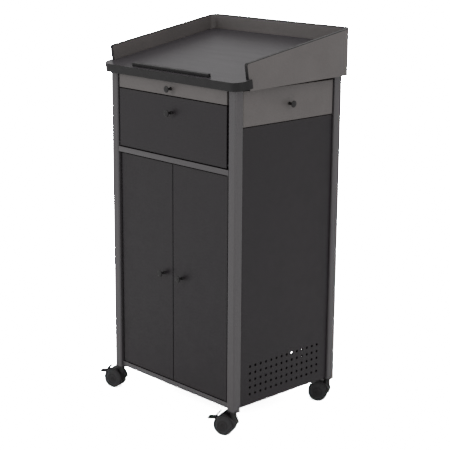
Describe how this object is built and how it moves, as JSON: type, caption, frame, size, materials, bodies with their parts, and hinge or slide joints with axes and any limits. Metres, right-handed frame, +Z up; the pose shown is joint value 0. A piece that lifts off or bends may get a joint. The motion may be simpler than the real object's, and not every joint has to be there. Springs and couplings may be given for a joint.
{
  "type": "lectern podium",
  "caption": "Rolling lectern cabinet with a sloped board in a raised gallery, pull-out shelves, a drop flap and two doors on twin-wheel casters.",
  "frame": {"origin": "on the floor under the middle of the lectern's outline", "axes": "+Z up, -Y towards the speaker's side with the doors, +X to the right of the doors, the side with the pull-out shelf"},
  "size_m": [0.6415, 0.4698, 1.1635],
  "materials": {
    "charcoal_laminate": "satin",
    "grey_laminate": "satin",
    "board_grey": "satin",
    "post_grey": "satin",
    "edge_band": "matte",
    "black_plastic": "gloss",
    "caster_plastic": "matte",
    "wheel_tread": "matte",
    "steel": "brushed",
    "runner_steel": "satin",
    "bush_plastic": "matte"
  },
  "bodies": {
    "cabinet": {"adjustable_shelf": "charcoal_laminate", "back_panel": "charcoal_laminate", "board_cheeks": "charcoal_laminate", "board_edge_band": "edge_band", "bottom_panel": "charcoal_laminate", "cross_rails": "charcoal_laminate", "door_catches": "bush_plastic", "front_left_post": "post_grey", "front_right_post": "post_grey", "gallery": "grey_laminate", "gallery_edge_band": "edge_band", "left_side_panel": "charcoal_laminate", "left_upper_panel": "grey_laminate", "mid_shelf": "charcoal_laminate", "paper_stop": "edge_band", "pivot_bushes": "bush_plastic", "post_feet": "black_plastic", "rear_left_post": "post_grey", "rear_right_post": "post_grey", "right_side_panel": "charcoal_laminate", "shelf_pins": "steel", "side_shelf_runners": "runner_steel", "sub_top": "charcoal_laminate", "top_board": "board_grey", "writing_shelf_runners": "runner_steel"},
    "writing_shelf": {"writing_shelf": "charcoal_laminate", "writing_shelf_front": "grey_laminate", "writing_shelf_knob": "black_plastic", "writing_shelf_slides": "runner_steel"},
    "side_shelf": {"side_shelf": "charcoal_laminate", "side_shelf_front": "grey_laminate", "side_shelf_knob": "black_plastic", "side_shelf_slides": "runner_steel"},
    "flap": {"flap": "charcoal_laminate", "flap_pins": "steel", "flap_knob": "black_plastic"},
    "left_door": {"left_door": "charcoal_laminate", "left_door_pins": "steel", "left_door_knob": "black_plastic"},
    "right_door": {"right_door": "charcoal_laminate", "right_door_pins": "steel", "right_door_knob": "black_plastic"},
    "front_left_caster": {"front_left_caster_hood": "caster_plastic", "front_left_caster_stem": "steel", "front_left_caster_axle": "steel"},
    "front_left_wheels": {"front_left_caster_wheels": "wheel_tread"},
    "front_left_brake": {"front_left_brake_lever": "caster_plastic"},
    "front_right_caster": {"front_right_caster_hood": "caster_plastic", "front_right_caster_stem": "steel", "front_right_caster_axle": "steel"},
    "front_right_wheels": {"front_right_caster_wheels": "wheel_tread"},
    "front_right_brake": {"front_right_brake_lever": "caster_plastic"},
    "rear_left_caster": {"rear_left_caster_hood": "caster_plastic", "rear_left_caster_stem": "steel", "rear_left_caster_axle": "steel"},
    "rear_left_wheels": {"rear_left_caster_wheels": "wheel_tread"},
    "rear_right_caster": {"rear_right_caster_hood": "caster_plastic", "rear_right_caster_stem": "steel", "rear_right_caster_axle": "steel"},
    "rear_right_wheels": {"rear_right_caster_wheels": "wheel_tread"}
  },
  "joints": [
    {"name": "writing_shelf_slide", "type": "slide", "parent": "cabinet", "child": "writing_shelf", "axis": [0, -1, 0], "range_m": [0, 0.25]},
    {"name": "side_shelf_slide", "type": "slide", "parent": "cabinet", "child": "side_shelf", "axis": [1, 0, 0], "range_m": [0, 0.28]},
    {"name": "flap_hinge", "type": "hinge", "parent": "cabinet", "child": "flap", "pos_m": [0.016, -0.199, 0.8035], "axis": [1, 0, 0], "range_deg": [0, 90]},
    {"name": "left_door_hinge", "type": "hinge", "parent": "cabinet", "child": "left_door", "pos_m": [-0.211, -0.193, 0.435], "axis": [0, 0, -1], "range_deg": [0, 105]},
    {"name": "right_door_hinge", "type": "hinge", "parent": "cabinet", "child": "right_door", "pos_m": [0.243, -0.193, 0.435], "axis": [0, 0, 1], "range_deg": [0, 105]},
    {"name": "front_left_swivel", "type": "hinge", "parent": "cabinet", "child": "front_left_caster", "pos_m": [-0.242, -0.194, 0.07], "axis": [0, 0, 1], "continuous": true},
    {"name": "front_left_roll", "type": "hinge", "parent": "front_left_caster", "child": "front_left_wheels", "pos_m": [-0.26686, -0.2016, 0.031], "axis": [-0.2924, 0.9563, 0], "continuous": true},
    {"name": "front_left_brake_press", "type": "hinge", "parent": "front_left_caster", "child": "front_left_brake", "pos_m": [-0.29747, -0.21096, 0.047], "axis": [0.2924, -0.9563, 0], "range_deg": [0, 15]},
    {"name": "front_right_swivel", "type": "hinge", "parent": "cabinet", "child": "front_right_caster", "pos_m": [0.274, -0.194, 0.07], "axis": [0, 0, 1], "continuous": true},
    {"name": "front_right_roll", "type": "hinge", "parent": "front_right_caster", "child": "front_right_wheels", "pos_m": [0.25016, -0.20437, 0.031], "axis": [-0.3987, 0.9171, 0], "continuous": true},
    {"name": "front_right_brake_press", "type": "hinge", "parent": "front_right_caster", "child": "front_right_brake", "pos_m": [0.22081, -0.21713, 0.047], "axis": [0.3987, -0.9171, 0], "range_deg": [0, 15]},
    {"name": "rear_left_swivel", "type": "hinge", "parent": "cabinet", "child": "rear_left_caster", "pos_m": [-0.242, 0.21, 0.07], "axis": [0, 0, 1], "continuous": true},
    {"name": "rear_left_roll", "type": "hinge", "parent": "rear_left_caster", "child": "rear_left_wheels", "pos_m": [-0.26643, 0.20111, 0.031], "axis": [-0.342, 0.9397, 0], "continuous": true},
    {"name": "rear_right_swivel", "type": "hinge", "parent": "cabinet", "child": "rear_right_caster", "pos_m": [0.274, 0.21, 0.07], "axis": [0, 0, 1], "continuous": true},
    {"name": "rear_right_roll", "type": "hinge", "parent": "rear_right_caster", "child": "rear_right_wheels", "pos_m": [0.25245, 0.19546, 0.031], "axis": [-0.5592, 0.829, 0], "continuous": true}
  ]
}
